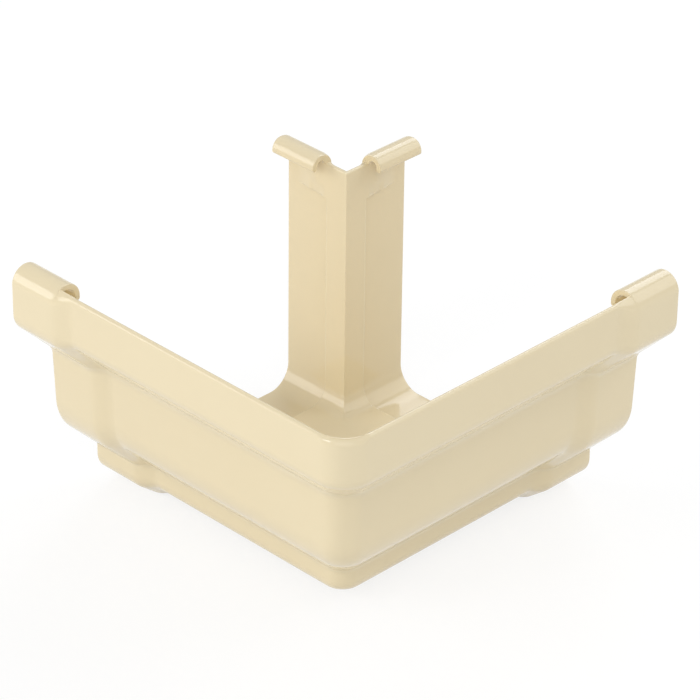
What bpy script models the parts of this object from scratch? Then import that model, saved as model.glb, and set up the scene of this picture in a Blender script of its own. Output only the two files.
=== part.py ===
# Gutter external angle: one moulding that turns a moulded-front gutter round an outside corner.
# Two short arms meet at a right angle at the fascia corner. Each arm ends in a socket that a length
# of gutter slides into, held by a hook rolled over at the front and a smaller one at the back.
# "out" is the distance from the fascia face towards the front of the gutter, "along" is the distance
# from the fascia corner towards the mouth of a socket, and z is up from the underside of the sockets.
import math

import bmesh
import bpy

for thing in list(bpy.data.objects):
    bpy.data.objects.remove(thing, do_unlink=True)

mm = 0.001

# Driving sizes
wall = 2.2 * mm
fit_gap = 0.15 * mm             # clearance all round a gutter that sits in a socket
seat_lift = 0.9 * mm            # extra room under the gutter, where the seal lies
socket_width = 140.0 * mm       # fascia face to the front face of a socket
post_width = 6.5 * mm           # back wall of the body, from the fascia corner to the bottom of a socket
socket_depth = 22.7 * mm
hook_setback = 0.4 * mm         # the hooks stop this far short of the bottom of the socket
corner_radius = 13.0 * mm       # rounding of the upright front corner at the top band
foot_corner_radius = 7.5 * mm   # and at the bottom band
ramp_lead = 2.7 * mm            # along the front the skin starts to shrink this far before a socket's bottom
ramp_length = 10.8 * mm         # and it has reached the size of the body after this length
back_ramp_start = 0.5 * mm      # fascia side, from the corner to where the skin starts to swell

# Front of the gutter, three upright bands with sloping steps between them, from the floor up
band_slope = math.radians(45.0)
soffit_slope = math.radians(38.0)
soffit_rise = 9.2 * mm
bottom_band_height = 8.9 * mm
lower_step = 19.0 * mm          # how far the middle band's foot stands out from the bottom band
middle_band_height = 31.0 * mm
middle_band_lean = 1.5 * mm     # how far the middle band leans in towards its foot
upper_step = 17.7 * mm          # how far the top band stands out from the head of the middle band
top_band_height = 15.9 * mm     # up to the middle of the front hook
top_round = 9.0 * mm
upper_hollow = 5.5 * mm
middle_round = 22.0 * mm
lower_hollow = 2.0 * mm
bottom_round = 9.0 * mm
soffit_round = 6.0 * mm
back_cove = 12.0 * mm

# Rims of the body and hooks of the sockets
front_rim_drop = 1.2 * mm       # body's front rim below the crown of the front hook
back_rim_drop = 3.9 * mm        # body's back rim below the crown of the back hook
rim_round = 1.2 * mm
rim_shy = 0.3 * mm              # how far the rim stays below the hook where they meet
front_hook_width = 13.0 * mm
front_lip_drop = 2.0 * mm
back_hook_width = 10.9 * mm
back_hook_crown_out = 6.5 * mm
back_hook_rise = 5.2 * mm       # crown of the back hook above that of the front hook
back_lip_drop = 1.4 * mm

# Near the top the back wall runs on from the body into the socket and then steps back on both faces
jog_height = 15.0 * mm          # down from the body's back rim
jog_start = -3.0 * mm           # fascia side, counted from the bottom of the socket
jog_length = 7.0 * mm
pad_start = 3.2 * mm            # channel side
pad_length = 9.0 * mm
pad_foot = 0.4 * mm             # height of the step at the foot of the pad where it starts to fade
pad_foot_end = 4.5 * mm         # and where it has faded away
pad_shy = 0.05 * mm             # what the pad lacks of being flush with the body's wall

jump = wall + fit_gap           # one skin in from the socket to the body
step_along = post_width
arm_length = post_width + socket_depth          # fascia corner to the mouth of a socket
middle_band_out = socket_width - upper_step
bottom_band_out = middle_band_out - middle_band_lean - lower_step
middle_band_foot = soffit_rise + bottom_band_height + lower_step * math.tan(band_slope)
top_band_foot = middle_band_foot + middle_band_height + upper_step * math.tan(band_slope)
front_hook_centre = top_band_foot + top_band_height
front_hook_crown = front_hook_centre + front_hook_width / 2
front_rim_top = front_hook_crown - front_rim_drop
back_hook_crown = front_hook_crown + back_hook_rise
back_rim_top = back_hook_crown - back_rim_drop
jog_ledge = back_rim_top - jog_height
back_hook_spring = back_rim_top - rim_round     # where the back wall starts to roll over
back_hook_centre = back_hook_crown - (back_hook_width - back_hook_crown_out)
hook_end = step_along + hook_setback
front_ramp_start = step_along + ramp_lead      # swelling of the front, from the socket down to the body
front_ramp_end = front_ramp_start - ramp_length
jog_end = step_along + jog_start + jog_length
half_span = (socket_width - arm_length) / 2
clear_of = 3.0 * mm             # cutters run this far past what they cut

cream = (0.80, 0.72, 0.52, 1.0)


def blend(low, high, share):
    return low + (high - low) * share


def ease(value):
    value = min(1.0, max(0.0, value))
    return value * value * (3 - 2 * value)


def skin_corners():
    # Sharp corners of the socket's outer skin, front to back, each with its rounding and its number of facets
    middle_foot_out = bottom_band_out + lower_step
    middle_band_head = middle_band_foot + middle_band_height
    bottom_band_head = soffit_rise + bottom_band_height
    soffit_run = soffit_rise / math.tan(soffit_slope)
    return [
        (socket_width, front_hook_centre, 0, 0),
        (socket_width, top_band_foot, top_round, 4),
        (middle_band_out, middle_band_head, upper_hollow, 3),
        (middle_foot_out, middle_band_foot, middle_round, 6),
        (bottom_band_out, bottom_band_head, lower_hollow, 2),
        (bottom_band_out, soffit_rise, bottom_round, 4),
        (bottom_band_out - soffit_run, 0, soffit_round, 3),
        (0, 0, back_cove, 7),
        (0, back_hook_spring, 0, 0),
    ]


def skin(inset, lift):
    # The skin moved inwards by inset: a corner that bulges out loses radius, a hollow one gains it
    corners = skin_corners()
    sides = []
    for first, second in zip(corners, corners[1:]):
        run = math.dist(first[:2], second[:2])
        ahead = ((second[0] - first[0]) / run, (second[1] - first[1]) / run)
        sides.append((first[0] + ahead[1] * inset, first[1] - ahead[0] * inset, ahead))
    points = []
    for before, after, corner in zip(sides, sides[1:], corners[1:]):
        turn = before[2][0] * after[2][1] - before[2][1] * after[2][0]
        apart_out = after[0] - before[0]
        apart_z = after[1] - before[1]
        reach = (apart_out * after[2][1] - apart_z * after[2][0]) / turn
        tip = (before[0] + before[2][0] * reach, before[1] + before[2][1] * reach)
        angle = math.asin(turn)
        radius = corner[2] - inset if turn < 0 else corner[2] + inset
        radius = max(radius, 0.2 * mm)
        tangent = radius * math.tan(abs(angle) / 2)
        start = (tip[0] - before[2][0] * tangent, tip[1] - before[2][1] * tangent)
        side = math.copysign(1, turn)
        centre = (start[0] - before[2][1] * radius * side, start[1] + before[2][0] * radius * side)
        for step in range(corner[3] + 1):
            swing = angle * step / corner[3]
            arm = (start[0] - centre[0], start[1] - centre[1])
            points.append((
                centre[0] + arm[0] * math.cos(swing) - arm[1] * math.sin(swing),
                centre[1] + arm[0] * math.sin(swing) + arm[1] * math.cos(swing) + lift,
            ))
    return points


def arc(centre_out, centre_z, half_width, height, start, end, steps):
    points = []
    for step in range(steps + 1):
        angle = math.radians(blend(start, end, step / steps))
        points.append((centre_out + half_width * math.cos(angle), centre_z + height * math.sin(angle)))
    return points


def outer_ring(front, rim, back, top, hooked):
    # Closed outline of the moulding before it is hollowed. Each share is 0 on the body and 1 on a socket
    front_face = socket_width - (1 - front) * jump
    back_face = (1 - top) * jump
    front_foot = front_hook_centre - 3 * front_lip_drop
    back_foot = back_hook_centre - 4 * back_lip_drop
    points = []
    if hooked:
        half = front_hook_width / 2
        inner = socket_width - front_hook_width
        points.append((inner, front_foot))
        points += arc(inner + half, front_hook_centre, half, half, 180, 90, 5)
        points += arc(inner + half, front_hook_centre, front_face - inner - half, half, 90, 0, 5)[1:]
    else:
        swell = blend(rim_round, front_hook_width / 2 - rim_shy, rim)
        crest = blend(front_rim_top, front_hook_crown - rim_shy, rim)
        points.append((front_face - swell - rim_round, front_foot))
        points += arc(front_face - swell, crest - rim_round, rim_round, rim_round, 180, 90, 5)
        points += arc(front_face - swell, crest - swell, swell, swell, 90, 0, 5)[1:]
    for socket_point, body_point in zip(skin(0, 0), skin(jump, seat_lift)):
        share = blend(back, front, ease(socket_point[0] / (socket_width / 2)))
        points.append((
            blend(body_point[0], socket_point[0], share),
            blend(body_point[1], socket_point[1], share),
        ))
    points.append(((1 - back) * jump, jog_ledge - jump))
    points.append((back_face, jog_ledge))
    points.append((back_face, back_hook_spring))
    if hooked:
        points += arc(back_hook_crown_out, back_hook_spring, back_hook_crown_out - back_face,
                      back_hook_crown - back_hook_spring, 180, 90, 5)
        points += arc(back_hook_crown_out, back_hook_centre, back_hook_width - back_hook_crown_out,
                      back_hook_crown - back_hook_centre, 90, 0, 5)[1:]
        points.append((back_hook_width, back_foot))
    else:
        points += arc(back_face + rim_round, back_rim_top - rim_round, rim_round, rim_round, 180, 90, 5)
        points += arc(back_face + 2 * wall - rim_round, back_rim_top - rim_round, rim_round, rim_round, 90, 0, 5)[1:]
        points.append((back_face + 2 * wall, back_foot))
    return points


def channel_ring(top):
    # Closed outline of the channel inside the body
    inset = 2 * wall + fit_gap
    return [(socket_width - inset, top)] + skin(inset, seat_lift) + [(inset, top)]


def socket_ring(fade):
    # Closed outline of the room inside a socket, with the hollows of both hooks. A pad above the ledge
    # narrows it and fades out with the share fade, while its foot grows taller
    pad = (jump - pad_shy) * (1 - fade)
    foot = blend(pad_foot, pad_foot_end, fade)
    lip_round = wall / 2 + 0.05 * mm
    inner_front = socket_width - front_hook_width + wall
    inner_back = back_hook_width - wall
    half = (socket_width - wall - inner_front) / 2
    points = [(inner_front - 2 * wall, front_hook_centre - front_lip_drop + lip_round)]
    points += arc(inner_front - lip_round, front_hook_centre - front_lip_drop + lip_round,
                  lip_round, lip_round, -180, 0, 4)
    points += arc(inner_front + half, front_hook_centre, half, half, 180, 0, 8)
    points += skin(wall, 0)
    points += [(wall, jog_ledge), (wall + pad, jog_ledge + foot)]
    points += arc(back_hook_crown_out, back_hook_spring, back_hook_crown_out - wall - pad,
                  back_hook_crown - back_hook_spring - wall, 180, 90, 4)
    points += arc(back_hook_crown_out, back_hook_centre, inner_back - back_hook_crown_out,
                  back_hook_crown - back_hook_centre - wall, 90, 0, 4)[1:]
    points += arc(inner_back + lip_round, back_hook_centre - back_lip_drop + lip_round,
                  lip_round, lip_round, -180, 0, 4)
    points.append((inner_back + 2 * wall, back_hook_centre - back_lip_drop + lip_round))
    return points


def corner_round(out):
    # The fascia side turns sharply. Towards the front the corner opens to its full radius
    share = ease((out - back_cove) / (bottom_band_out - back_cove))
    spread = max(0.0, (out - bottom_band_out) / (socket_width - bottom_band_out))
    return blend(foot_corner_radius, corner_radius, spread) * share


def place(along, out, z):
    return (-along - half_span, half_span - out, z)


def on_corner(out, z, depth, turn):
    # turn runs from 0, where the corner starts, to 1 on the mitre plane
    radius = max(0.0, corner_round(out) - depth)
    swing = math.radians(45) * turn
    along = radius - out - radius * math.sin(swing)
    return place(along, out - radius * (1 - math.cos(swing)), z)


def loft(name, rings, closed_start, closed_end):
    shape = bmesh.new()
    rows = [[shape.verts.new(point) for point in ring] for ring in rings]
    for row, following in zip(rows, rows[1:]):
        for index in range(len(row)):
            beside = (index + 1) % len(row)
            shape.faces.new((row[index], row[beside], following[beside], following[index]))
    if closed_start:
        shape.faces.new(reversed(rows[0]))
    if closed_end:
        shape.faces.new(rows[-1])
    bmesh.ops.remove_doubles(shape, verts=shape.verts, dist=0.001 * mm)
    bmesh.ops.recalc_face_normals(shape, faces=shape.faces)
    mesh = bpy.data.meshes.new(name)
    shape.to_mesh(mesh)
    shape.free()
    mesh.shade_smooth()
    mesh.set_sharp_from_angle(angle=math.radians(28))
    return bpy.data.objects.new(name, mesh)


def straight(ring, along):
    return [place(max(along, -out), out, z) for out, z in ring]


def round_corner(ring, depth, steps):
    return [[on_corner(out, z, depth, step / steps) for out, z in ring] for step in range(steps + 1)]


def shares(along):
    # How far front, front rim, fascia side and jog have swollen, from 0 on the body to 1 on a socket
    front = 1 - ease((front_ramp_start - along) / ramp_length)
    rim = 1 - ease((hook_end - along) / (hook_end - front_ramp_end))
    back = ease((along - back_ramp_start) / (step_along - back_ramp_start))
    top = ease((along - step_along - jog_start) / jog_length)
    return front, rim, back, top


def solid_half():
    rings = [straight(outer_ring(1, 1, 1, 1, True), arm_length)]
    for part in (0, 0.25, 0.5, 0.75, 1):
        along = blend(max(jog_end, front_ramp_start), hook_end, part)
        rings.append(straight(outer_ring(*shares(along), True), along))
    rings.append(straight(outer_ring(*shares(hook_end), False), hook_end))
    for part in (0, 0.15, 0.3, 0.45, 0.6, 0.8, 1):
        along = blend(step_along, front_ramp_end, part)
        rings.append(straight(outer_ring(*shares(along), False), along))
    return loft("gutter_angle", rings + round_corner(outer_ring(0, 0, 0, 0, False), 0, 6), True, False)


def channel_half():
    ring = channel_ring(max(front_hook_crown, back_hook_crown) + clear_of)
    rings = [straight(ring, step_along + hook_setback / 2)]
    return loft("channel_room", rings + round_corner(ring, wall, 6), True, False)


def socket_half():
    rings = [straight(socket_ring(0), step_along)]
    for part in (0, 0.2, 0.4, 0.6, 0.8, 1):
        along = step_along + pad_start + pad_length * part
        rings.append(straight(socket_ring(ease(part)), along))
    rings.append(straight(socket_ring(1), arm_length + clear_of))
    return loft("socket_room", rings, True, True)


def mirrored(piece, plane):
    mirror = piece.modifiers.new("other_arm", "MIRROR")
    mirror.mirror_object = plane
    mirror.use_mirror_merge = True
    mirror.merge_threshold = 0.00001
    return piece


def cut(piece, cutter):
    hollow = piece.modifiers.new(cutter.name, "BOOLEAN")
    hollow.operation = "DIFFERENCE"
    hollow.solver = "EXACT"
    hollow.object = cutter


def plastic():
    material = bpy.data.materials.new("cream_plastic")
    material.use_nodes = True
    surface = material.node_tree.nodes["Principled BSDF"]
    surface.inputs["Base Color"].default_value = cream
    surface.inputs["Roughness"].default_value = 0.25
    surface.inputs["Metallic"].default_value = 0.0
    return material


product = bpy.data.collections.new("gutter_external_angle")
cutters = bpy.data.collections.new("cutters")
for collection in (product, cutters):
    bpy.context.scene.collection.children.link(collection)

mitre = bpy.data.objects.new("mitre_plane", None)
mitre.rotation_euler = (0, 0, math.radians(45))
product.objects.link(mitre)

angle = mirrored(solid_half(), mitre)
angle.data.materials.append(plastic())
product.objects.link(angle)
for room in (channel_half(), socket_half()):
    cutters.objects.link(mirrored(room, mitre))
    room.hide_render = True
    room.display_type = "WIRE"
    cut(angle, room)
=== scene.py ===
import math

import bmesh
import bpy
import numpy as np
from mathutils import Matrix, Vector


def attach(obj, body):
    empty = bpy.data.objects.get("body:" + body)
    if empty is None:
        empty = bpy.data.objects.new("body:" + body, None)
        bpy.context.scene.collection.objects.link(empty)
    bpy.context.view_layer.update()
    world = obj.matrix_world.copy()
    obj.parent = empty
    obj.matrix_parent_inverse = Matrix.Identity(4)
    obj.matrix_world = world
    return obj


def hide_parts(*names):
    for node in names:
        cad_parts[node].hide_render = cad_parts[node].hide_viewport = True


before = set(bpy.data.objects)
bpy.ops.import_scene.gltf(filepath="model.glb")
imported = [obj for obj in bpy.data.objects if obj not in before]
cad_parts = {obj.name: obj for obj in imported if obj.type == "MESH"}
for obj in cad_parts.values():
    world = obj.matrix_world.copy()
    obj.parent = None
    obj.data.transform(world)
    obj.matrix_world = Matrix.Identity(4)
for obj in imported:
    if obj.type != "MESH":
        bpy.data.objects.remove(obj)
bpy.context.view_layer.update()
print("frame loaded")

mm = 0.001


def ease(value):
    # Smooth step: 0 below 0, 1 above 1, and the cubic v * v * (3 - 2 * v) between them
    value = np.clip(value, 0, 1)
    return value * value * (3 - 2 * value)


def mix(low, high, share):
    # Straight blend: low at share 0, high at share 1
    return low + (high - low) * share


moulding = {
    "wall": 2.2 * mm,
    "gap": 0.15 * mm,                # clearance round a gutter in its socket
    "seatLift": 0.9 * mm,            # the body's section stands this much above an even inset
    "socketWidth": 140.0 * mm,
    "postWidth": 6.5 * mm,           # back wall of the body, from the fascia corner to a socket's bottom
    "socketDepth": 22.7 * mm,
    "hookSetback": 0.4 * mm,         # the hooks end this far before the bottom of a socket
    "cornerRadius": 13.0 * mm,
    "footCornerRadius": 7.5 * mm,
    "coveSharp": 4.6 * mm,           # the corner under the post is sharp up to here, and turns soft
    "coveSoften": 9.0 * mm,          # over this length of the floor
    "rampLead": 2.7 * mm,            # the front starts to shrink this far before the bottom of a socket
    "rampLength": 10.8 * mm,
    "backRampStart": 0.5 * mm,
    "mouthRound": 0.5 * mm,          # softened edges round the mouths
    "stepRound": 0.8 * mm,           # softened edge of the body's wall inside a socket
    "hookRound": 0.3 * mm,           # softened edge where the hooks end
    "skin": {
        "topBandFoot": 85.8 * mm,
        "middleBandOut": 122.3 * mm,
        "middleBandLean": 1.5 * mm,
        "middleBandFoot": 37.1 * mm,
        "bottomBandOut": 101.8 * mm,
        "bottomBandFoot": 9.2 * mm,
        "soffitSlope": 38.0,
        "rounds": [9.0, 5.5, 22.0, 2.0, 9.0, 6.0, 12.0],    # in mm, from the top band to the back cove
        "facets": [14, 12, 18, 10, 14, 10, 18],
    },
    "rim": {
        "frontTop": 107.0 * mm,
        "backTop": 109.5 * mm,
        "outerRound": 1.2 * mm,
        "cornerRound": 3.2 * mm,         # the front rim is rounder at the corner
        "cornerLift": 0.4 * mm,
        "cornerTurn": 0.35,              # share of the turn over which it grows rounder
        "innerRound": 0.7 * mm,
        "innerDrop": 0.9,                # height of the rim's inner edge in its rounds
        "shy": 0.3 * mm,                 # the body's rim stays this far inside a hook's round
    },
    "hook": {
        "frontWidth": 13.0 * mm,
        "frontCentre": 101.7 * mm,
        "frontLipDrop": 2.0 * mm,
        "backWidth": 10.9 * mm,
        "backCrownOut": 6.5 * mm,
        "backCrown": 113.4 * mm,
        "backLipDrop": 1.4 * mm,
        "steps": 40,
        "turned": 36,                    # how many of the steps turn, the rest run down the lip
        "frontKept": 14,                 # steps that stay as the body's rim where the hook ends
        "backKept": 4,
        "capSteps": 10,
    },
    "jog": {
        "ledge": 94.5 * mm,
        "start": -3.0 * mm,              # along from the bottom of a socket, like the starts below
        "length": 7.0 * mm,
        "padStart": 4.0 * mm,            # where the raised pad under a back hook starts to sink away
        "padLength": 14.0 * mm,
        "footStart": 0.5 * mm,           # the pad's foot leans back softly between these two
        "footEnd": 10.5 * mm,
        "footFade": 4.0 * mm,
        "footHeight": 5.5 * mm,
        "footLean": 0.8 * mm,
        "soften": 0.4 * mm,              # half the height of the inner ledge's soft edge
        "steps": 8,
        "lowest": 14.0 * mm,             # the upright faces get points from this height
        "sharesBelow": (0.05, 0.35, 0.65, 0.97),
        "sharesAbove": (0.3, 0.9),
    },
    "grid": {
        "flatShares": np.array([0.03, 0.25, 0.5, 0.75, 0.97])[:, None],     # points along a flat side
        "edgeShares": np.array([0.04, 0.35, 0.65, 0.97])[:, None],          # points beside a hook
        "roundRows": 6,                  # rows round a softened edge
        "socketRows": 34,
        "bodyRows": 24,
        "cornerRows": 15,
        "rimSteps": 8,                   # points round a rim's inner edge
        "leastRound": 0.3 * mm,          # an arc's radius doesn't go under this
        "mergeDistance": 0.002 * mm,
        "sharpAngle": 38.0,
    },
}

skinPlan, rimPlan, hookPlan = moulding["skin"], moulding["rim"], moulding["hook"]
jogPlan, gridPlan = moulding["jog"], moulding["grid"]
wall = moulding["wall"]
width = moulding["socketWidth"]
jump = wall + moulding["gap"]
stepAlong = moulding["postWidth"]
armLength = stepAlong + moulding["socketDepth"]
halfSpan = (width - armLength) / 2
rimInner = width - 2 * wall - moulding["gap"]
hookEnd = stepAlong + moulding["hookSetback"]
rampStart = stepAlong + moulding["rampLead"]
rampEnd = rampStart - moulding["rampLength"]
backSpring = rimPlan["backTop"] - rimPlan["outerRound"]
backCentre = hookPlan["backCrown"] - (hookPlan["backWidth"] - hookPlan["backCrownOut"])


def skinCorners():
    # Sharp corners of the socket's outer skin, front to back: (out, z)
    plan = skinPlan
    middleFoot = plan["middleBandOut"] - plan["middleBandLean"]
    soffitRun = plan["bottomBandFoot"] / math.tan(math.radians(plan["soffitSlope"]))
    return np.array([
        (width, hookPlan["frontCentre"]),
        (width, plan["topBandFoot"]),
        (plan["middleBandOut"], plan["topBandFoot"] - (width - plan["middleBandOut"])),
        (middleFoot, plan["middleBandFoot"]),
        (plan["bottomBandOut"], plan["middleBandFoot"] - (middleFoot - plan["bottomBandOut"])),
        (plan["bottomBandOut"], plan["bottomBandFoot"]),
        (plan["bottomBandOut"] - soffitRun, 0),
        (0, 0),
        (0, backSpring),
    ])


def skin(inset, lift):
    # Each side moves inwards by inset and meets the next again; the corner becomes an arc whose radius
    # loses inset where it bulges out and gains it where it is hollow. Flats get points close to the arcs.
    corners = skinCorners()
    ahead = np.diff(corners, axis=0)
    ahead /= np.linalg.norm(ahead, axis=1)[:, None]
    starts = corners[:-1] + np.stack([ahead[:, 1], -ahead[:, 0]], 1) * inset
    pieces = []
    for index, (plainRound, facets) in enumerate(zip(skinPlan["rounds"], skinPlan["facets"])):
        before, after = ahead[index], ahead[index + 1]
        apart = starts[index + 1] - starts[index]
        turn = before[0] * after[1] - before[1] * after[0]
        reach = (apart[0] * after[1] - apart[1] * after[0]) / turn
        tip = starts[index] + before * reach
        angle = math.asin(turn)
        radius = max(plainRound * mm - math.copysign(inset, -turn), gridPlan["leastRound"])
        side = math.copysign(1, turn)
        first = tip - before * radius * math.tan(abs(angle) / 2)
        centre = first + np.array([-before[1], before[0]]) * radius * side
        swing = np.linspace(0, angle, facets + 1)
        arm = first - centre
        pieces.append(np.stack([
            centre[0] + arm[0] * np.cos(swing) - arm[1] * np.sin(swing),
            centre[1] + arm[0] * np.sin(swing) + arm[1] * np.cos(swing),
        ], 1))
    joined = [pieces[0]]
    for previous, following in zip(pieces, pieces[1:]):
        joined.append(mix(previous[-1], following[0], gridPlan["flatShares"]))
        joined.append(following)
    return np.concatenate(joined) + np.array([0, lift])


def skinRound(front, back, thin):
    # Outer skin between socket (share 1) and body (share 0). The share is back at the fascia and eases to
    # front at mid width; thin moves the skin into the wall.
    socketSkin = skin(thin, 0)
    bodySkin = skin(jump + thin, moulding["seatLift"])
    share = mix(back, front, ease(skin(0, 0)[:, 0] / (width / 2)))
    return mix(bodySkin, socketSkin, share[:, None])


def upright(out, low, high, shares):
    # Points of an upright line at the given shares of the way from low to high
    return np.stack([np.full(len(shares), out), mix(low, high, np.array(shares))], 1)


def column(low, high, bottomOut, topOut, lean=0):
    # Upright face from the cove to the back spring, with a jog eased in between the heights low and high.
    # Just above the jog it stands back by lean, and it comes forward again evenly over the pad's foot.
    share = np.linspace(0, 1, jogPlan["steps"] + 1)
    jog = np.stack([mix(bottomOut, topOut - lean, ease(share)), mix(low, high, share)], 1)
    rise = np.linspace(0, 1, jogPlan["steps"])[1:]
    foot = np.stack([topOut - lean * (1 - rise), high + rise * jogPlan["footHeight"]], 1)
    below = upright(bottomOut, jogPlan["lowest"], low, jogPlan["sharesBelow"])
    above = upright(topOut, high + jogPlan["footHeight"], backSpring, jogPlan["sharesAbove"])
    return np.concatenate([below, jog, foot, above])


def spread(first, kept, last):
    # Angles of the steps of a hook: evenly to the kept one, then evenly to the far side
    beyond = hookPlan["turned"] - kept
    return np.concatenate([np.linspace(0, first, kept + 1), np.linspace(first, last, beyond + 1)[1:]])


def frontHook(face, thin, shrink):
    # Half circles, outer and inner, round one centre, each with a straight lip. Where the ramp takes the
    # face in, the quarter on its side becomes an ellipse. Gives the outer side, the inner side, the cap.
    plan = hookPlan
    lipRound = wall / 2
    lipZ = plan["frontCentre"] - plan["frontLipDrop"] + lipRound
    centre = width - plan["frontWidth"] / 2
    sides = []
    for half, right in (
        (plan["frontWidth"] / 2 - thin - shrink, face),
        (plan["frontWidth"] / 2 - wall + thin + shrink, width - wall + thin),
    ):
        angles = spread(math.acos((rimInner - centre) / (right - centre)), plan["frontKept"], math.pi)
        reach = np.where(angles < math.pi / 2, right - centre, half)
        height = plan["frontCentre"] + half * np.sin(angles)
        turned = np.stack([centre + reach * np.cos(angles), height], 1)
        share = np.linspace(0, 1, plan["steps"] - plan["turned"] + 1)[1:]
        lip = np.stack([np.full(len(share), centre - half), mix(plan["frontCentre"], lipZ, share)], 1)
        sides.append(np.concatenate([turned, lip]))
    return sides[0], sides[1], lipCap(sides[0][-1], sides[1][-1], lipRound - thin - shrink)


def backHook(face, innerFace, thin, shrink):
    # Quarter ellipse up to the crown and a quarter circle down from it, for both faces of the hook
    plan = hookPlan
    lipRound = wall / 2
    lipZ = backCentre - plan["backLipDrop"] + lipRound
    sides = []
    for left, right, crown in (
        (face, plan["backWidth"] - thin - shrink, plan["backCrown"] - thin - shrink),
        (innerFace, plan["backWidth"] - wall + thin + shrink, plan["backCrown"] - wall + thin + shrink),
    ):
        quarter = plan["turned"] // 2
        first = math.asin((rimPlan["backTop"] - backSpring) / (crown - backSpring))
        rise = np.concatenate([
            np.linspace(0, first, plan["backKept"] + 1),
            np.linspace(first, math.pi / 2, quarter - plan["backKept"] + 1)[1:],
        ])
        fall = np.linspace(math.pi / 2, 0, quarter + 1)[1:]
        crownOut = plan["backCrownOut"]
        up = np.stack([
            crownOut - (crownOut - left) * np.cos(rise),
            backSpring + (crown - backSpring) * np.sin(rise),
        ], 1)
        down = np.stack([
            crownOut + (right - crownOut) * np.cos(fall),
            backCentre + (crown - backCentre) * np.sin(fall),
        ], 1)
        share = np.linspace(0, 1, plan["steps"] - plan["turned"] + 1)[1:]
        lip = np.stack([np.full(len(share), right), mix(backCentre, lipZ, share)], 1)
        sides.append(np.concatenate([up, down, lip]))
    return sides[0], sides[1], lipCap(sides[0][-1], sides[1][-1], lipRound - thin - shrink)


def lipCap(outerTip, innerTip, height):
    # Half ellipse under a lip, from the outer tip to the inner one
    angles = np.linspace(0, math.pi, hookPlan["capSteps"] + 2)[1:-1]
    middle = (outerTip + innerTip) / 2
    return np.stack([
        middle[0] + (outerTip[0] - middle[0]) * np.cos(angles),
        middle[1] - height * np.sin(angles),
    ], 1)


def cutHook(outer, inner, kept):
    # The hook ends at one of its steps: everything beyond it gathers on the line across the wall
    share = np.linspace(0, 1, hookPlan["capSteps"] + 2)[1:-1, None]
    steps = np.minimum(np.arange(len(outer)), kept)
    return outer[steps], inner[steps], mix(outer[kept], inner[kept], share)


def rounded(first, last, corner):
    # Quarter turn from first to last round their corner, as a conic with even steps
    share = np.linspace(0, 1, gridPlan["rimSteps"])[:, None] * math.pi / 2
    return corner + (first - corner) * (1 - np.sin(share)) + (last - corner) * (1 - np.cos(share))


def rimShares():
    # Even shares for the points of a cap that its round edge leaves over
    flatPoints = hookPlan["capSteps"] - (gridPlan["rimSteps"] - 1)
    return np.linspace(0, 1, flatPoints + 2)[1:-1, None]


def frontRim(face, rim, innerTop, bulge):
    # Body's front rim: an outer arc that swells towards the hook (rim) and at the corner (bulge), a soft
    # inner edge, then down the channel's front wall to innerTop
    plan = hookPlan
    plainRound = mix(rimPlan["outerRound"], rimPlan["cornerRound"], bulge)
    plainTop = rimPlan["frontTop"] + rimPlan["cornerLift"] * bulge
    hookSwell = plan["frontWidth"] / 2 - rimPlan["shy"]
    swell = mix(plainRound, hookSwell, rim)
    crest = mix(plainTop, plan["frontCentre"] + hookSwell, rim)
    edge = rimPlan["innerRound"]
    centre = face - swell
    stop = math.acos(np.clip((rimInner + edge - centre) / swell, 0, 1))
    angles = np.linspace(0, stop, plan["frontKept"] + 1)
    arc = np.stack([centre + swell * np.cos(angles), crest - swell + swell * np.sin(angles)], 1)
    beyond = np.repeat(arc[-1:], plan["steps"] - plan["frontKept"], 0)
    low = np.array([rimInner, arc[-1][1] - edge * rimPlan["innerDrop"]])
    cap = np.concatenate([
        rounded(arc[-1], low, np.array([rimInner, arc[-1][1]]))[1:],
        mix(low, np.array([rimInner, innerTop]), rimShares()),
    ])
    return np.concatenate([arc, beyond]), cap


def backRim(face):
    # Body's back rim: outer edge, flat top and a soft inner edge
    plan = hookPlan
    inner = jump + wall
    top = rimPlan["backTop"]
    edge = rimPlan["innerRound"]
    angles = np.linspace(0, math.pi / 2, plan["backKept"] + 1)
    outerRound = rimPlan["outerRound"]
    arc = np.stack([face + outerRound * (1 - np.cos(angles)), backSpring + outerRound * np.sin(angles)], 1)
    beyond = np.repeat(arc[-1:], plan["steps"] - plan["backKept"], 0)
    first = np.array([inner - edge, top])
    flat = mix(arc[-1], first, rimShares())
    turned = rounded(first, np.array([inner, top - edge]), np.array([inner, top]))[:-1]
    innerArc = upright(inner, backSpring, top - edge, np.linspace(0, 1, plan["backKept"] + 1))
    innerBeyond = np.repeat(innerArc[-1:], plan["steps"] - plan["backKept"], 0)
    outerSide = np.concatenate([arc, beyond])
    innerSide = np.concatenate([innerArc, innerBeyond])
    return outerSide, innerSide, np.concatenate([flat, turned])


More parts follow.
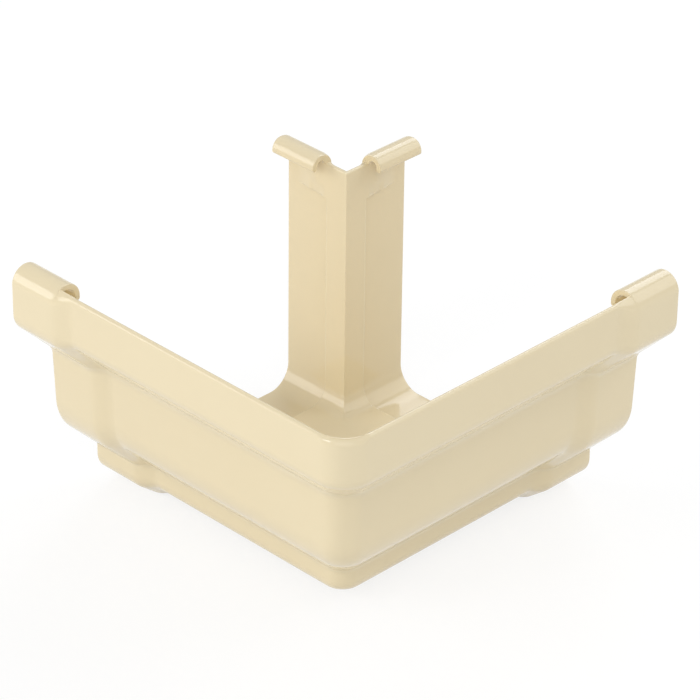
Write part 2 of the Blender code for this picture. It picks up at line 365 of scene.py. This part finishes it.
def outline(along, hooked=True, thin=0, shrink=0, kept=None, body=0, bulge=0):
    # The closed outline of the wall at one station. It runs from the front lip over the outside to the
    # back lip and returns along the inside, always with the same number of points. Each face moves from
    # its place in the socket to its place in the body by an eased share of along.
    front = 1 - ease((rampStart - along) / moulding["rampLength"])
    rim = 1 - ease((hookEnd - along) / (hookEnd - rampEnd))
    back = ease((along - moulding["backRampStart"]) / (stepAlong - moulding["backRampStart"]))
    beyondStep = along - stepAlong
    top = ease((beyondStep - jogPlan["start"]) / jogPlan["length"])
    fade = ease((beyondStep - jogPlan["padStart"]) / jogPlan["padLength"])
    foot = ease((beyondStep - jogPlan["footStart"]) / jogPlan["footFade"])
    foot = foot * ease((jogPlan["footEnd"] - beyondStep) / jogPlan["footFade"])
    frontFace = width - (1 - front) * jump - thin
    backFace = (1 - top) * jump + thin
    padFace = wall + jump * (1 - fade) - thin
    frontKept, backKept = hookPlan["frontKept"], hookPlan["backKept"]
    frontOuter, frontInner, frontCap = frontHook(frontFace, thin, shrink)
    backOuter, backInner, backCap = backHook(backFace, padFace, thin, shrink)
    if kept is not None:
        frontOuter, frontInner, frontCap = cutHook(frontOuter, frontInner, max(kept, frontKept))
        backOuter, backInner, backCap = cutHook(backOuter, backInner, max(kept, backKept))
    if not hooked:
        steps = np.minimum(np.arange(len(frontInner)), frontKept)
        frontInner = frontInner[steps]
        innerTop = frontInner[-1][1]
        frontOuter, frontCap = frontRim(frontFace, rim, innerTop, bulge)
        backOuter, backInner, backCap = backRim(backFace)
        height = np.linspace(hookPlan["frontCentre"], innerTop, frontKept + 1)
        bodySide = np.stack([np.full(frontKept + 1, rimInner), height], 1)[steps]
        frontInner = mix(frontInner, bodySide, body)
    outerSkin = skinRound(front, back, thin)
    innerSkin = mix(skin(wall - thin, 0), skin(jump + wall, moulding["seatLift"]), body)
    ledge, soften = jogPlan["ledge"], jogPlan["soften"]
    outerColumn = column(ledge - jump, ledge, (1 - back) * jump + thin, backFace)
    innerColumn = column(
        ledge - soften, ledge + soften,
        mix(wall - thin, jump + wall, body), mix(padFace, jump + wall, body),
        lean=foot * jogPlan["footLean"] * (1 - body),
    )
    outerSide = np.concatenate([
        frontOuter[::-1],
        mix(frontOuter[0], outerSkin[0], gridPlan["edgeShares"]),
        outerSkin,
        outerColumn,
        backOuter,
    ])
    innerSide = np.concatenate([
        frontInner[::-1],
        mix(frontInner[0], innerSkin[0], gridPlan["edgeShares"]),
        innerSkin,
        innerColumn,
        backInner,
    ])
    return np.concatenate([frontCap[::-1], outerSide, backCap, innerSide[::-1]])


def place(along, out, z):
    # The left arm in the part's own axes: along runs towards -x, out towards -y
    return np.stack([-along - halfSpan, halfSpan - out, z], -1)


def straightRow(along, **state):
    # One outline across the arm; where it would pass the mitre plane, along = -out, it stops on it
    points = outline(along, **state)
    return place(np.maximum(along, -points[:, 0]), points[:, 0], points[:, 1])


def cornerRound(out):
    # The fascia side turns sharply, the bottom band on the small radius and the top band on the full one
    low, high = moulding["footCornerRadius"], moulding["cornerRadius"]
    foot = skinPlan["bottomBandOut"]
    share = ease((out - moulding["coveSharp"]) / moulding["coveSoften"])
    return mix(low, high, np.clip((out - foot) / (width - foot), 0, None)) * share


def cornerRow(points, depth, turn):
    # Each point goes round an arc of its own radius, less its depth in the wall, and at turn 1 it has
    # turned through half of the corner's right angle
    radius = np.maximum(cornerRound(points[:, 0]) - depth, 0)
    swing = math.pi / 4 * turn
    along = radius - points[:, 0] - radius * math.sin(swing)
    return place(along, points[:, 0] - radius * (1 - math.cos(swing)), points[:, 1])


def armRows():
    # Rows from the mouth of a socket to the mitre plane. Rows that share a plane make the end faces, and
    # a softened edge is a quarter circle of rows.
    rows = []
    turn = np.linspace(math.pi / 2, 0, gridPlan["roundRows"])
    soft = moulding["mouthRound"]
    for angle in turn:
        rows.append(straightRow(armLength - soft * (1 - math.sin(angle)), thin=soft * (1 - math.cos(angle))))
    padEnd = stepAlong + jogPlan["padStart"] + jogPlan["padLength"]
    rows.append(straightRow((armLength + padEnd) / 2))
    soft = moulding["hookRound"]
    for along in np.linspace(padEnd, hookEnd + soft, gridPlan["socketRows"]):
        rows.append(straightRow(along))
    for angle in turn[::-1][1:]:
        rows.append(straightRow(hookEnd + soft * (1 - math.sin(angle)), shrink=soft * (1 - math.cos(angle))))
    # In the plane where the hooks end they close step by step, and the body's rims take over
    for kept in range(hookPlan["steps"], hookPlan["backKept"] - 1, -1):
        rows.append(straightRow(hookEnd, shrink=soft, kept=kept))
    for along in (hookEnd, stepAlong):
        rows.append(straightRow(along, hooked=False, shrink=soft))
    soft = moulding["stepRound"]
    for angle in math.pi / 2 - turn:
        share = 1 - soft * (1 - math.sin(angle)) / jump
        rows.append(straightRow(stepAlong - soft * (1 - math.cos(angle)), hooked=False, body=share))
    for along in np.linspace(stepAlong - soft, rampEnd, gridPlan["bodyRows"])[1:]:
        rows.append(straightRow(along, hooked=False, body=1))
    caps = hookPlan["capSteps"]
    sideCount = len(rows[0]) // 2 - caps
    for turnShare in np.linspace(0, 1, gridPlan["cornerRows"]):
        bulge = ease(turnShare / rimPlan["cornerTurn"])
        points = outline(rampEnd, hooked=False, body=1, bulge=bulge)
        depth = np.concatenate([
            np.clip(width - jump - points[:caps, 0], 0, wall),
            np.zeros(sideCount),
            np.full(caps, wall / 2),
            np.full(sideCount, wall),
        ])
        rows.append(cornerRow(points, depth, turnShare))
    return np.array(rows), sideCount


def mouldedShell():
    # Quads between neighbouring rows and outline points; the mouth is closed by quads across the wall. The
    # right arm is the left one mirrored at the mitre plane, where their doubles are merged.
    rows, sideCount = armRows()
    rowCount, count = rows.shape[:2]
    index = np.arange(rowCount * count).reshape(rowCount, count)
    nextPoint = np.roll(index, -1, axis=1)
    sides = np.stack([index[:-1], nextPoint[:-1], nextPoint[1:], index[1:]], -1).reshape(-1, 4)
    caps = hookPlan["capSteps"]
    frontLip, outer, backLip, inner = np.split(index[0], [caps, caps + sideCount, 2 * caps + sideCount])
    inner = inner[::-1]
    mouth = np.stack([outer[1:], outer[:-1], inner[:-1], inner[1:]], -1)
    lips = [[inner[0], *frontLip, outer[0]], [outer[-1], *backLip, inner[-1]]]
    faces = sides.tolist() + mouth.tolist() + [[int(point) for point in lip] for lip in lips]
    left = rows.reshape(-1, 3)
    right = np.stack([-left[:, 1], -left[:, 0], left[:, 2]], 1)
    mirroredFaces = [[point + len(left) for point in reversed(face)] for face in faces]
    mesh = bpy.data.meshes.new("gutterShell")
    mesh.from_pydata(np.concatenate([left, right]).tolist(), [], faces + mirroredFaces)
    merged = bmesh.new()
    merged.from_mesh(mesh)
    bmesh.ops.remove_doubles(merged, verts=merged.verts, dist=gridPlan["mergeDistance"])
    bmesh.ops.recalc_face_normals(merged, faces=merged.faces)
    openEdges = sum(len(edge.link_faces) != 2 for edge in merged.edges)
    merged.to_mesh(mesh)
    merged.free()
    mesh.shade_smooth()
    mesh.set_sharp_from_angle(angle=math.radians(gridPlan["sharpAngle"]))
    shell = bpy.data.objects.new("gutterShell", mesh)
    bpy.context.scene.collection.objects.link(shell)
    print("shell made:", len(mesh.polygons), "faces,", openEdges, "open edges")
    return shell


class Wire:
    # A node's output in a sum: arithmetic on it adds Math nodes
    def __init__(self, sheet, socket):
        self.sheet = sheet
        self.socket = socket

    def combine(self, operation, first, second):
        return self.sheet.add("ShaderNodeMath", {"operation": operation}, {0: first, 1: second})

    def __add__(self, other):
        return self.combine("ADD", self, other)

    def __radd__(self, other):
        return self.combine("ADD", other, self)

    def __sub__(self, other):
        return self.combine("SUBTRACT", self, other)

    def __rsub__(self, other):
        return self.combine("SUBTRACT", other, self)

    def __mul__(self, other):
        return self.combine("MULTIPLY", self, other)

    def __rmul__(self, other):
        return self.combine("MULTIPLY", other, self)


class Sheet:
    # A material's node tree with one method that adds any node
    def __init__(self, name):
        self.material = bpy.data.materials.new(name)
        self.material.use_nodes = True
        self.tree = self.material.node_tree
        self.tree.nodes.clear()

    def add(self, kind, settings=None, inputs=None, output=0):
        node = self.tree.nodes.new(kind)
        for name, value in (settings or {}).items():
            setattr(node, name, value)
        for name, value in (inputs or {}).items():
            if isinstance(value, Wire):
                self.tree.links.new(value.socket, node.inputs[name])
            else:
                node.inputs[name].default_value = value
        return Wire(self, node.outputs[output]) if node.outputs else node


plastic = {
    "colour": (0.80, 0.69, 0.468, 1.0),
    "shade": (0.775, 0.655, 0.433, 1.0),    # thin variation in the pigment
    "shadeFrom": 0.35,                      # level of the cloud where the shade begins
    "shadeShare": 0.6,
    "refraction": 1.46,
    "roughness": 0.11,
    "fineRoughness": 0.04,                  # how much the two noises change the roughness
    "cloudRoughness": 0.06,
    "noiseMiddle": 0.5,
    "rippleHeight": 0.06 * mm,
    "grainHeight": 0.0012 * mm,
    "cloud": {"Scale": 26.0, "Detail": 4.0, "Roughness": 0.55},     # scales are per metre
    "fine": {"Scale": 900.0, "Detail": 3.0, "Roughness": 0.6},
    "wave": {"Scale": 45.0, "Detail": 1.0, "Roughness": 0.4},
}


def creamPlastic():
    # Glossy plastic: a cloud tints it, and a long wave and a fine grain ripple its surface
    look = plastic
    sheet = Sheet("creamPlastic")
    point = sheet.add("ShaderNodeTexCoord", output=3)       # Object coordinates
    cloud, fine, wave = (
        sheet.add("ShaderNodeTexNoise", {}, {"Vector": point, **look[noise]})
        for noise in ("cloud", "fine", "wave")
    )
    tint = sheet.add("ShaderNodeMix", {"data_type": "RGBA"}, {
        0: (cloud - look["shadeFrom"]) * look["shadeShare"], 6: look["colour"], 7: look["shade"],
    }, output=2)
    fineChange = (fine - look["noiseMiddle"]) * look["fineRoughness"]
    cloudChange = (cloud - look["noiseMiddle"]) * look["cloudRoughness"]
    ripple = sheet.add("ShaderNodeBump", {}, {
        "Strength": 1.0, "Distance": look["rippleHeight"], "Height": wave,
    })
    grain = sheet.add("ShaderNodeBump", {}, {
        "Strength": 1.0, "Distance": look["grainHeight"], "Height": fine, "Normal": ripple,
    })
    surface = sheet.add("ShaderNodeBsdfPrincipled", {}, {
        "Base Color": tint,
        "Roughness": look["roughness"] + fineChange + cloudChange,
        "Normal": grain,
        "IOR": look["refraction"],
    })
    sheet.add("ShaderNodeOutputMaterial", {}, {"Surface": surface})
    return sheet.material


shell = mouldedShell()
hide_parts("gutter_angle")
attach(shell, "root")
shell.data.materials.append(creamPlastic())
print("plastic made")

studio = {
    "floorSize": 6.0,
    "floorDrop": 0.2 * mm,
    "shadowShare": 0.25,             # how much of the floor's own shading the camera sees
    "glow": 1.07,                    # of the floor, as the camera sees it
    "mirroredGlow": 1.0,             # and as the plastic mirrors it
    "floorColour": (0.85, 0.85, 0.845, 1),
    "worldStrength": 0.50,
    "lampAim": (0, 0, 50.0 * mm),
    "lamps": {                       # azimuth, elevation, distance, size, power, colour
        "key": (-46, 15, 2.4, 1.4, 16.2, (1.0, 1.0, 1.0)),
        "front": (48, 30, 2.4, 2.2, 14.2, (1.0, 1.0, 1.0)),
        "side": (145, 37, 2.4, 2.0, 15.0, (1.0, 1.0, 1.0)),
        "back": (207, 38, 2.4, 1.4, 13.0, (0.93, 0.98, 1.08)),
        "glint": (1, 34, 1.2, 0.28, 1.9, (1.0, 1.0, 1.0)),
    },
}


def studioFloor():
    # For the camera and for mirrored rays an even glow covers most of the diffuse floor
    half = studio["floorSize"] / 2
    mesh = bpy.data.meshes.new("floor")
    corners = [(-half, -half, 0), (half, -half, 0), (half, half, 0), (-half, half, 0)]
    mesh.from_pydata(corners, [], [(0, 1, 2, 3)])
    floor = bpy.data.objects.new("floor", mesh)
    floor.location.z = -studio["floorDrop"]
    bpy.context.scene.collection.objects.link(floor)
    sheet = Sheet("paleFloor")
    rays = sheet.tree.nodes.new("ShaderNodeLightPath")
    camera = Wire(sheet, rays.outputs["Is Camera Ray"])
    glossy = Wire(sheet, rays.outputs["Is Glossy Ray"])
    seen = sheet.add("ShaderNodeMath", {"operation": "MAXIMUM"}, {0: camera, 1: glossy})
    strength = studio["mirroredGlow"] + camera * (studio["glow"] - studio["mirroredGlow"])
    paint = sheet.add("ShaderNodeBsdfDiffuse", {}, {"Color": studio["floorColour"]})
    glow = sheet.add("ShaderNodeEmission", {}, {"Color": (1, 1, 1, 1), "Strength": strength})
    blend = sheet.add("ShaderNodeMixShader", {}, {0: seen * (1 - studio["shadowShare"]), 1: paint, 2: glow})
    sheet.add("ShaderNodeOutputMaterial", {}, {"Surface": blend})
    mesh.materials.append(sheet.material)


def direction(azimuth, elevation):
    # Unit vector from the middle of the scene in a direction given in degrees
    turn, rise = math.radians(azimuth), math.radians(elevation)
    return Vector((math.sin(turn) * math.cos(rise), -math.cos(turn) * math.cos(rise), math.sin(rise)))


def softLamp(name, azimuth, elevation, distance, size, power, colour):
    # A round lamp that looks at the middle of the moulding. Azimuth 0 is in front of the left arm, 90 in
    # front of the right one.
    lamp = bpy.data.lights.new(name, "AREA")
    lamp.shape = "DISK"
    lamp.size = size
    lamp.energy = power
    lamp.color = colour
    towards = direction(azimuth, elevation)
    holder = bpy.data.objects.new(name, lamp)
    holder.location = Vector(studio["lampAim"]) + towards * distance
    holder.rotation_euler = towards.to_track_quat("Z", "Y").to_euler()
    bpy.context.scene.collection.objects.link(holder)


def studioWorld():
    # Even white light from all round
    world = bpy.data.worlds.new("studioWorld")
    bpy.context.scene.world = world
    world.use_nodes = True
    backdrop = world.node_tree.nodes["Background"]
    backdrop.inputs["Color"].default_value = (1, 1, 1, 1)
    backdrop.inputs["Strength"].default_value = studio["worldStrength"]


studioFloor()
studioWorld()
for lampName, lampPlan in studio["lamps"].items():
    softLamp(lampName, *lampPlan)
print("studio made")

view = {
    "lens": 202.94,
    "sensorWidth": 36.0,
    "clipStart": 0.1,
    "clipEnd": 20.0,
    "azimuth": 44.875,
    "elevation": 30.90,
    "roll": 0.685,
    "distance": 1.4785,
    "aim": (-35.4 * mm, 35.4 * mm, 60.0 * mm),
    "shiftRight": 1.992 * mm,
    "shiftUp": -12.023 * mm,
}


def studioCamera():
    # Looks at aim from the given direction and distance, shifted in its own picture and rolled
    back = direction(view["azimuth"], view["elevation"])
    azimuth = math.radians(view["azimuth"])
    right = Vector((math.cos(azimuth), math.sin(azimuth), 0))
    up = back.cross(right)
    camera = bpy.data.cameras.new("camera")
    camera.lens = view["lens"]
    camera.sensor_width = view["sensorWidth"]
    camera.clip_start = view["clipStart"]
    camera.clip_end = view["clipEnd"]
    holder = bpy.data.objects.new("camera", camera)
    roll = Matrix.Rotation(math.radians(view["roll"]), 3, "Z")
    turn = Matrix((right, up, back)).transposed() @ roll
    aim = Vector(view["aim"]) + right * view["shiftRight"] + up * view["shiftUp"]
    holder.matrix_world = Matrix.Translation(aim + back * view["distance"]) @ turn.to_4x4()
    bpy.context.scene.collection.objects.link(holder)
    bpy.context.scene.camera = holder


studioCamera()
bpy.context.scene.view_settings.view_transform = "Standard"
print("camera set")

bpy.context.view_layer.update()
